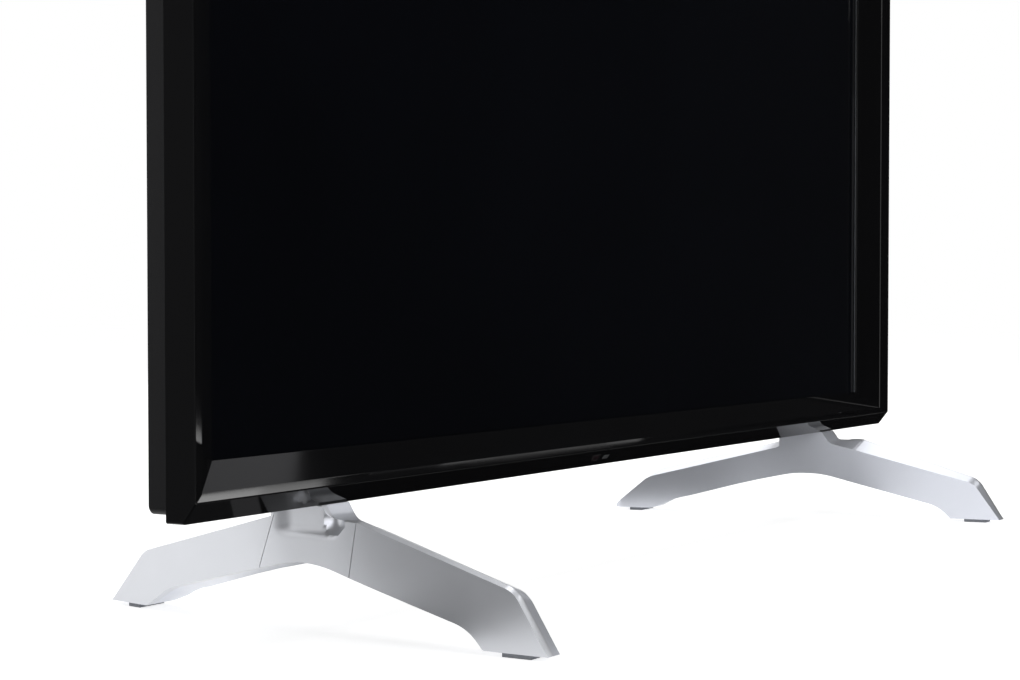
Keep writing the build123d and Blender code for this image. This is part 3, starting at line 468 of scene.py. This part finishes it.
# Painted light: the casting's paler, bluer tone than the plates' stands for the key light on the inner face
# of the right foot.
finish("foot_silver", tone(230, 233, 241), 0.31, depth=0.004, **flake)
finish("foot_skin_silver", tone(224, 226, 231), 0.32, depth=0.006, **flake)
finish("rubber_grey", tone(158, 161, 168), 0.7, grain=1400, depth=0.04)
print("finishes in all", len(paints))

# %% [markdown]
# ## Dress the construction pieces
#
# Panel layers, boards, sockets and screws keep the shape that the construction gives them, since a step away
# nothing more of them shows. The record names a slot for every node, and each takes the finish of its slot.
# A list of pieces typed here instead would go stale as soon as a piece is added.

# %% Dress the construction pieces
slot_of = {part["node"]: part["material_slot"] for part in frame["record"]["subparts"]}
for node, thing in nodes.items():
    thing.data.materials[0] = paints[slot_of[node]]
print("dressed", len(nodes))

# %% [markdown]
# ## Front frame
#
# The frame is one moulding: a steep bevel next to the picture, a shallow facet, a crest, and along the
# bottom a face that slopes down and back. It could be swept round the picture as a profile, but the lower
# side is narrower and shaped differently from the other three. So it is built as a stack of rounded
# rectangles, each with its own place and depth, joined ring to ring. The mitres in the corners then come by
# themselves.

# %% Sizes of the front frame
frame_low, frame_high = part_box("front_frame")
crest_y = frame_low.y
side_width, low_width, frame_depth = 33.7, 28.5, 18.2
window = (frame_low.x + side_width * mm, frame_high.x - side_width * mm,
          frame_low.z + low_width * mm, frame_high.z - side_width * mm)
print("frame box depth", round((frame_high.y - crest_y) / mm, 2), "window",
      [round(edge / mm, 1) for edge in window])

# %% [markdown]
# ## Rings
#
# A ring is one of those rounded rectangles, a loop of vertices with an arc of a few steps in each corner. As
# every ring has as many vertices in the same order, two of them can be joined by plain four-sided faces,
# which shade evenly. A boolean of two blocks would give the same form but long, thin triangles.

# %% Rings
def ring(bm, side, low, depth, radius, steps=5):
    """A rounded rectangle of vertices round the window, grown at the sides and below."""
    x0, x1 = window[0] - side, window[1] + side
    z0, z1 = window[2] - low, window[3] + side
    y = crest_y + depth
    loop = []
    for cx, cz, start in ((x1 - radius, z1 - radius, 0), (x0 + radius, z1 - radius, 90),
                          (x0 + radius, z0 + radius, 180), (x1 - radius, z0 + radius, 270)):
        for step in range(steps + 1):
            angle = math.radians(start + 90 * step / steps)
            loop.append(bm.verts.new((cx + radius * math.cos(angle), y, cz + radius * math.sin(angle))))
    return loop


def bridge(bm, first, second):
    """Faces between two rings with as many vertices."""
    count = len(first)
    for i in range(count):
        j = (i + 1) % count
        bm.faces.new((first[i], first[j], second[j], second[i]))


print("window corner", [round(edge / mm, 1) for edge in (window[0], window[2])])

# %% [markdown]
# ## Pieces and their edges
#
# Every new piece goes the same way: its faces are turned outwards, it gets its finish, and it is told which
# body of the frame it rides on. Moulded and cast edges are never sharp, so a bevel rounds them, and weighted
# normals keep the flat faces next to the round looking flat. The bevel stays a modifier: its width can be
# changed here without touching the form, and Blender narrows it by itself where short edges leave less room.

# %% Pieces and their edges
# From here on, rounds are in mm and angles in degrees. The weights say which faces set a vertex's normal.
largest_face_only, all_faces_alike = 100, 50


def new_piece(name, bm, slot, body):
    """Close a mesh, give it its finish and let it ride on a body."""
    bmesh.ops.recalc_face_normals(bm, faces=bm.faces)
    mesh = bpy.data.meshes.new(name)
    bm.to_mesh(mesh)
    bm.free()
    mesh.shade_smooth()
    mesh.materials.append(paints[slot])
    piece = bpy.data.objects.new(name, mesh)
    bpy.context.scene.collection.objects.link(piece)
    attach(piece, body)
    return piece


def ease(piece, width, steps=3, angle=30, weight=largest_face_only):
    """Round every edge sharper than an angle, and keep the flats flat."""
    soft = piece.modifiers.new("eased_edges", "BEVEL")
    soft.width = width
    soft.segments = steps
    soft.limit_method = "ANGLE"
    soft.angle_limit = math.radians(angle)
    soft.miter_outer = "MITER_ARC"
    level = piece.modifiers.new("level_faces", "WEIGHTED_NORMAL")
    level.keep_sharp = True
    level.weight = weight
    return piece


print("weights of the normals", largest_face_only, all_faces_alike)

# %% [markdown]
# ## The moulding
#
# Eight rings make the section: the lip that frames the glass, the steep bevel with a fine step at its top,
# the shallow facet, the narrow crest, and the outer face. Below the picture the crest is followed by the face
# that slopes down and back. The profile is closed into a solid ring, so the moulding has no open side.

# %% The moulding
frame_round = 0.35
frame_sharp_angle = 14
# Each row: growth at the sides and the top, growth below, depth behind the crest, corner radius, in mm.
profile = [
    (0, 0, frame_depth, 0.25),
    (0, 0, 16.6, 0.25),
    (23.7, 13.9, 4.3, 0.3),
    (23.95, 14.15, 3.75, 0.3),
    (32.9, 17.4, 0, 0.6),
    (side_width, 18.2, 0, 1.2),
    (side_width, low_width, 7.9, 1.5),
    (side_width, low_width, frame_depth, 1.5),
]
bm = bmesh.new()
rings = [ring(bm, *[value * mm for value in row]) for row in profile]
for near, far in zip(rings, rings[1:] + rings[:1]):
    bridge(bm, near, far)
moulding = new_piece("front_frame_moulding", bm, "frame_gloss_black", "cabinet")
ease(moulding, frame_round * mm, angle=frame_sharp_angle)
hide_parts("front_frame")
print("moulding faces", len(moulding.data.polygons))

# %% [markdown]
# ## Softened copies
#
# Where a construction solid already has the right shape, there is no need to model it again. A copy of it is
# cleaned of the flat triangles that it was stored as, so that the bevel finds real edges only, and those are
# rounded.

# %% A maker of softened copies
weld_distance = 0.002
flat_angle = 0.3


def softened(node, width, steps=2, angle=32, body="cabinet", proud=0.0, merge=True):
    """A copy of a node with its flat faces merged and its edges rounded, moved forwards if proud."""
    mesh = nodes[node].data.copy()
    bm = bmesh.new()
    bm.from_mesh(mesh)
    bmesh.ops.remove_doubles(bm, verts=bm.verts, dist=weld_distance * mm)
    if merge:
        bmesh.ops.dissolve_limit(bm, angle_limit=math.radians(flat_angle), verts=bm.verts, edges=bm.edges)
    bmesh.ops.translate(bm, verts=bm.verts, vec=(0, -proud, 0))
    bm.to_mesh(mesh)
    bm.free()
    mesh.shade_smooth()
    mesh.materials.clear()
    mesh.materials.append(paints[slot_of[node]])
    piece = bpy.data.objects.new(node + "_soft", mesh)
    bpy.context.scene.collection.objects.link(piece)
    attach(piece, body)
    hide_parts(node)
    return ease(piece, width, steps, angle)


print("copies are welded within", weld_distance, "mm")

# %% [markdown]
# ## Casing pieces
#
# The rear cover is the largest moulding, with air slots, bays and bush holes. Merging its flat faces round so
# many holes would spoil them, so it keeps its triangles. It gets the widest round, and the bays, the mains
# inlet, the steel bushes for a wall mount and the cover screws get a narrower one.

# %% Casing pieces
cover_round = 0.6
softened("rear_cover", cover_round * mm, merge=False)
casing_rounds = {"terminal_bay": 0.35, "mains_bay": 0.35, "mains_inlet": 0.4,
                 "wall_mount_bushes": 0.3, "cover_screws": 0.3}
for node, width in casing_rounds.items():
    softened(node, width * mm)
print("casing pieces", 1 + len(casing_rounds))

# %% [markdown]
# ## Keys and windows
#
# The five keys are caps that a finger presses, so each rides on its own body and moves with its joint. The
# two small windows in the lower frame stand a hair in front of the frame's face. Flush faces would flicker
# where they share a plane, and a real window is never quite flush either.

# %% Keys and windows
key_round = 0.25
window_round = 0.1
window_proud = 0.12
keys = ("key_power", "key_source", "key_menu", "key_down", "key_up")
for node in keys:
    softened(node, key_round * mm, body=node)
for node in ("remote_window", "standby_light"):
    softened(node, window_round * mm, proud=window_proud * mm)
print("keys", len(keys))

# %% [markdown]
# ## The arch of a foot
#
# Each foot is an arch of cast metal. Seen from the side it is a single outline: a sloping end at the toe, a
# long run up to the neck, a run down to the heel, and a wide arch below. Only the corners of that outline are
# written down, each with the radius of its arc, as a designer would draw it. The tips come from the frame.
# Lengths along the foot are measured from the middle of the neck, and the toe has the lower numbers.

# %% Corners of the arch
neck_behind_crest = 22.5
neck_y = crest_y + neck_behind_crest * mm
sole = 2.4
neck_half, neck_foot, neck_top = 19.5, 62.6, 69.35
toe_tip, heel_tip = ((corner[1] - neck_y) / mm for corner in cad_box)
# Each row: place along the foot, height, radius, in mm.
toe_upper = [(toe_tip, sole, 0), (toe_tip + 20.2, 35.4, 15), (-42.5, 63.9, 8)]
neck_upper = [(-21.5, neck_foot, 7), (-16.0, neck_top, 0), (neck_half, neck_top, 0), (neck_half, 62.0, 0)]
heel_upper = [(heel_tip - 30.5, 34.0, 15), (heel_tip, sole, 0)]
lower_arch = [(126.5, sole, 1.5), (105.9, 14.8, 55), (-5.1, 41.0, 86), (-110.4, 12.6, 28),
              (-119.6, sole, 1.5)]
arch = toe_upper + neck_upper + heel_upper + lower_arch
print("arch corners", len(arch), "from", round(toe_tip, 1), "to", round(heel_tip, 1))

# %% [markdown]
# ## Outline of the arch
#
# The arcs are worked out from the corners: each one touches both of its runs, so the outline has no kinks. A
# curve object could round the corners too, but its points would not be at hand for what follows. The long
# runs are then cut into short ones, so that the foot can bend in plan without a facet.

# %% Outline of the arch
arc_step = 3
run_step = 3.0


def rounded(corners):
    """An outline as points, with each corner drawn as an arc of its radius."""
    line = []
    count = len(corners)
    for i, (y, z, radius) in enumerate(corners):
        before, here, after = (Vector(corners[k][:2]) for k in ((i - 1) % count, i, (i + 1) % count))
        if not radius:
            line.append(here)
            continue
        to_before, to_after = (before - here).normalized(), (after - here).normalized()
        half = to_before.angle(to_after) / 2
        reach = radius / math.tan(half)
        centre = here + (to_before + to_after).normalized() * radius / math.sin(half)
        first = here + to_before * reach - centre
        last = here + to_after * reach - centre
        sweep = math.pi - 2 * half
        steps = max(2, math.ceil(math.degrees(sweep) / arc_step))
        sign = 1 if first.cross(last) > 0 else -1
        for step in range(steps + 1):
            angle = sign * sweep * step / steps
            line.append(centre + Vector((first.x * math.cos(angle) - first.y * math.sin(angle),
                                         first.x * math.sin(angle) + first.y * math.cos(angle))))
    return line


def finer(line, step):
    """The same outline with its long runs cut into short ones."""
    fine = []
    for here, after in zip(line, line[1:] + line[:1]):
        count = max(1, math.ceil((after - here).length / step))
        fine += [here + (after - here) * i / count for i in range(count)]
    return fine


outline = finer(rounded(arch), run_step)
print("outline points", len(outline))

# %% [markdown]
# ## The foot seen from above
#
# From above, the foot is a strip that swings outwards towards the toe and thins at both ends. Its two faces
# are short tables of places, read by straight lines, and the bends between them are eased, because sheets of
# light on satin paint show any kink. The heel's inner face is also drawn in round its tip.

# %% The foot seen from above
# Each row: place along the foot, outer face and inner face from the middle of the set, in mm.
plan = [(-158.5, 374.0, 362.0), (-40.0, 369.5, 342.5), (24.0, 361.5, 334.5), (159.5, 329.5, 305.0)]
plan_soft = 18.0
tip_radius = 9.0


def along(table, y, column=1):
    """A value read off a table by straight lines, held at its ends."""
    if y <= table[0][0]:
        return table[0][column]
    for near, far in zip(table, table[1:]):
        if y <= far[0]:
            share = (y - near[0]) / (far[0] - near[0])
            return near[column] + share * (far[column] - near[column])
    return table[-1][column]


def bent(y, column):
    """A face of the foot in plan: straight runs whose bends are eased over a short stretch."""
    x = along(plan, y, column)
    for before, here, after in zip(plan, plan[1:], plan[2:]):
        change = ((after[column] - here[column]) / (after[0] - here[0])
                  - (here[column] - before[column]) / (here[0] - before[0]))
        reach = plan_soft - abs(y - here[0])
        if reach > 0:
            x += change * reach ** 2 / (4 * plan_soft)
    return x


def outer_x(y):
    """The outer face, which the three plates cover."""
    return bent(y, 1)


def inner_x(y):
    """The inner face, drawn in round the tip of the heel."""
    past = min(1, max(0, (y - plan[-1][0] + tip_radius) / tip_radius))
    return bent(y, 2) + tip_radius * (1 - math.sqrt(1 - past * past))


print("thickness at the neck", round(outer_x(0) - inner_x(0), 2), "mm")

# %% [markdown]
# ## How the foot falls inwards
#
# Seen from the front, the upper and lower sides of the casting fall towards the middle of the set, so that
# its top shows as a narrow pale band and not as a flat shelf. Each drop is a short table along the foot. A
# point between the two edges takes its share of both. At the top of the neck the drop fades out, because the
# neck has to meet the underside of the set.

# %% How the foot falls inwards
# Each row: place along the foot, drop at the inner face, in mm.
top_drop = [(-158.5, 0), (-138.3, 4.4), (-42.5, 8.3), (-neck_half, 1.5), (neck_half, 5.6), (129.0, 5.4),
            (159.5, 0)]
low_drop = [(-119.6, 0), (-110.4, 0.8), (-5.1, 3.0), (36.0, 2.2), (55.0, 2.5), (95.0, 4.0), (114.0, 3.2),
            (126.5, 0)]
neck_margin = 6
least_height = 0.5


def limits(y):
    """The lower and the upper edge of the arch at a place along it."""
    heights = []
    for here, after in zip(outline, outline[1:] + outline[:1]):
        if (here.x - y) * (after.x - y) <= 0 and here.x != after.x:
            heights.append(here.y + (after.y - here.y) * (y - here.x) / (after.x - here.x))
    return (min(heights), max(heights)) if heights else (sole, sole)


def lowered(y, z, share):
    """The height of a point once it is moved inwards by a share of the foot's thickness."""
    low, high = limits(y)
    rise = min(1, max(0, (z - low) / max(least_height, high - low)))
    upper = along(top_drop, y)
    if abs(y) <= neck_half + neck_margin and z > neck_foot:
        upper *= max(0, (neck_top - z) / (neck_top - neck_foot))
    return z - share * (rise * upper + (1 - rise) * along(low_drop, y))


print("arch at its crown", [round(edge, 1) for edge in limits(0)])

# %% [markdown]
# ## Fill an outline
#
# To bend and hollow a flat outline, it needs points inside it as well. A grid of points is laid over it and
# everything is joined by triangles that are as even as they can be, which Blender's own routine does. A face
# with many corners, cut up at random, would crease as soon as it is bent.

# %% Fill an outline
# The grid stays clear of the edges by a share of its pitch, and of the bevel by a length in mm.
edge_clear_share = 0.4
bevel_clear = 0.4
keep_inside = 1
same_point = 1e-5
# Each row: place along the foot, how far the bevel lowers the plates' upper outer edge, in mm.
edge_drop = [(-158.5, 0.6), (-138.0, 2.2), (-44.0, 2.2), (-26.0, 0.4), (28.0, 0.4), (44.0, 0.9), (159.5, 0.6)]


def filled(line, pitch):
    """Points on and inside an outline, and the triangles between them."""
    points = [Vector((point.x, point.y)) for point in line]
    count = len(points)
    ys, zs = [point.x for point in points], [point.y for point in points]
    y = min(ys) + pitch / 2
    while y < max(ys):
        low, high = limits(y)
        lowest = low + pitch * edge_clear_share
        highest = high - max(pitch * edge_clear_share, along(edge_drop, y) + bevel_clear)
        z = min(zs) + pitch / 2
        while z < max(zs):
            if lowest < z < highest:
                points.append(Vector((y, z)))
            z += pitch
        y += pitch
    loop = [(i, (i + 1) % count) for i in range(count)]
    flat, _, faces, *_ = delaunay_2d_cdt(points, loop, [list(range(count))], keep_inside, same_point)
    return flat, faces


coarse_grid, fine_grid = 6, 1.6
print("triangles in a coarse arch", len(filled(outline, coarse_grid)[1]))

# %% [markdown]
# ## A slab between two skins
#
# Plates and casting are slabs cut from the same arch. A slab has a front face, a back face and, round its
# rim, a wall of two strips. The row of vertices between those strips, the brow, sets where the bevel of the
# upper edge ends. Cutting one solid foot apart by booleans would give the same pieces, but with ragged
# triangles along the cuts, and the bevel would have to be made again on each.

# %% A slab between two skins
# In mm: a plate's thickness, the least wall behind the bevel, and how near the upper edge counts as on it.
# The bevel lowers that edge by a share of the arch's height at most.
skin = 6.0
least_wall = 0.3
on_top = 0.05
most_drop_share = 0.3
# Each row: place along the foot, how far inwards the bevel of the upper edge runs, in mm.
edge_run = [(-138.0, 3.4), (-44.0, 3.4), (-26.0, 0.6), (28.0, 0.6), (44.0, 0.9)]


def close_slab(bm, faces, front, brow, back):
    """The front and back faces, and a wall of two strips along the rim."""
    edges = dict.fromkeys((a, b) for face in faces for a, b in zip(face, face[1:] + face[:1]))
    for face in faces:
        bm.faces.new([front[i] for i in face])
        bm.faces.new([back[i] for i in reversed(face)])
    for a, b in edges:
        if (b, a) not in edges:
            bm.faces.new([front[a], front[b], brow[b], brow[a]])
            bm.faces.new([brow[a], brow[b], back[b], back[a]])
    bmesh.ops.delete(bm, geom=[vert for vert in bm.verts if not vert.link_faces], context="VERTS")


def slab(name, line, front_inset, back_share, pitch, side, slot, relief=None):
    """A piece with the given outline, from an inset behind the outer face to a share of the thickness."""
    flat, faces = filled(line, pitch)
    bm = bmesh.new()

    def vertex(y, z, depth, share, drop=0):
        """A vertex at a depth behind the outer face, lowered by a share of the thickness."""
        return bm.verts.new((side * (outer_x(y) - depth) * mm, neck_y + y * mm,
                             (lowered(y, z, share) - drop) * mm))

    front, brow, back = {}, {}, {}
    for i in sorted({i for face in faces for i in face}):
        y, z = flat[i]
        width = outer_x(y) - inner_x(y)
        deep = relief(y, z) if relief else 0
        low, high = limits(y)
        bevelled = z > high - on_top and not front_inset
        drop = min(along(edge_drop, y), most_drop_share * (high - low)) if bevelled else 0
        run = min(front_inset + deep + along(edge_run, y), front_inset + skin - least_wall)
        end = back_share if back_share else (front_inset + skin) / width
        front[i] = vertex(y, z, front_inset + deep, front_inset / width, drop)
        brow[i] = vertex(y, z, run, run / width)
        back[i] = vertex(y, z, end * width, end)
    close_slab(bm, faces, front, brow, back)
    return new_piece(name, bm, slot, "cabinet")


print("plates", skin, "mm thick")

# %% [markdown]
# ## Neck relief
#
# The outer side of the neck has a shallow sunk panel above a soft ledge, with a round hollow at its front
# corner. Both are moulded into the neck plate. They could be cut with a boolean, but a depth that is worked
# out point by point gives the soft edges at once: smooth steps for the panel, and the cap of a ball for the
# hollow.

# %% Neck relief
panel_depth = 1.7
ledge = (51.5, 57.5)
panel_front = (-26.0, -21.5)
panel_rear = (5.0, 19.0)
ball, ball_out, ball_y, ball_z = 9.0, 4.0, -25.0, 62.0
thinnest = 1


def soft_step(value, start, end):
    """A step from 0 to 1 without corners."""
    share = min(1, max(0, (value - start) / (end - start)))
    return share * share * (3 - 2 * share)


def neck_relief(y, z):
    """How deep the neck plate is hollowed at a point."""
    panel = panel_depth * soft_step(z, *ledge) * soft_step(y, *panel_front) * (1 - soft_step(y, *panel_rear))
    away = math.hypot(y - ball_y, z - ball_z)
    scoop = math.sqrt(max(0, ball ** 2 - away ** 2)) - ball_out
    return min(skin - thinnest, max(panel, scoop))


print("deepest relief", round(neck_relief(ball_y, ball_z), 2), "mm")

# %% [markdown]
# ## Seams
#
# Three plates cover the outer side of a foot, parted by two leaning seams, a hair apart as on the real set.
# An outline is cut at a seam by walking round it, keeping the points on one side and adding a point where it
# crosses. A dark line painted on a single plate would be simpler, but its edges would catch no light.

# %% Seams
seam_height = 34.7
front_seam, rear_seam, gap = -36.2, 28.2, 0.2
front_lean, rear_lean = 5.6, 13.3


def keep_side(line, y, lean, keep_rear):
    """The part of an outline in front of or behind a leaning seam."""
    def side(point):
        value = point.x - (y + lean * (seam_height - point.y) / seam_height)
        return value if keep_rear else -value

    kept = []
    for here, after in zip(line, line[1:] + line[:1]):
        a, b = side(here), side(after)
        if a >= 0:
            kept.append(here)
        if (a > 0 > b) or (a < 0 < b):
            kept.append(here + (after - here) * (a / (a - b)))
    return kept


toe_line = keep_side(outline, front_seam - gap, front_lean, False)
behind_toe = keep_side(outline, front_seam + gap, front_lean, True)
neck_line = keep_side(behind_toe, rear_seam - gap, rear_lean, False)
heel_line = keep_side(outline, rear_seam + gap, rear_lean, True)
print("outline points of toe", len(toe_line), "neck", len(neck_line), "heel", len(heel_line))

# %% [markdown]
# ## The two feet
#
# Both feet come from the same outlines, with the sign of the side as their only difference, so they mirror
# each other exactly. The neck plate has a fine grid for its relief, and the other pieces need only a coarse
# one. Each piece takes the place of the construction piece that it dresses.

# %% The two feet
plate_round, casting_round = 0.5, 0.8
for side, word in ((-1, "left"), (1, "right")):
    for part, line, pitch, relief in (("toe", toe_line, coarse_grid, None),
                                      ("neck", neck_line, fine_grid, neck_relief),
                                      ("heel", heel_line, coarse_grid, None)):
        plate = slab(f"foot_{part}_plate_{word}", line, 0, 0, pitch, side, "foot_skin_silver", relief)
        ease(plate, plate_round * mm)
        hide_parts(f"foot_{part}_cover_{word}")
    cast = slab(f"foot_casting_{word}", outline, skin, 1.0, coarse_grid, side, "foot_silver")
    ease(cast, casting_round * mm, weight=all_faces_alike)
    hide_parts(f"foot_body_{word}")
    print(word, "casting faces", len(cast.data.polygons))

# %% [markdown]
# ## Pads
#
# A rubber pad sits under each toe and each heel and keeps the metal off the table. A pad follows the plan of
# the foot, drawn in a little on both sides, so that it is built from rows across the foot and not as a plain
# block, whose corners would stick out where the foot narrows. The four pads are one piece, as in the frame.

# %% Pads
pad_inset = 1.5
pad_rows = 6
pad_round = 0.4
toe_pad, heel_pad = (-147.4, -130.0), (134.5, 145.0)


def pad_block(bm, side, start, end):
    """A rubber pad that follows the plan of the foot, drawn in a little."""
    rows = []
    for i in range(pad_rows + 1):
        y = start + (end - start) * i / pad_rows
        pair = (outer_x(y) - pad_inset, inner_x(y) + pad_inset)
        rows.append([bm.verts.new((side * x * mm, neck_y + y * mm, z * mm)) for x in pair for z in (0, sole)])
    for near, far in zip(rows, rows[1:]):
        for a, b in ((0, 1), (1, 3), (3, 2), (2, 0)):
            bm.faces.new((near[a], near[b], far[b], far[a]))
    for end_row in (rows[0], rows[-1]):
        bm.faces.new([end_row[k] for k in (0, 1, 3, 2)])


bm = bmesh.new()
for side in (-1, 1):
    for start, end in (toe_pad, heel_pad):
        pad_block(bm, side, start, end)
pads = ease(new_piece("foot_pads_soft", bm, "rubber_grey", "cabinet"), pad_round * mm)
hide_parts("foot_pads")
print("pad faces", len(pads.data.polygons))
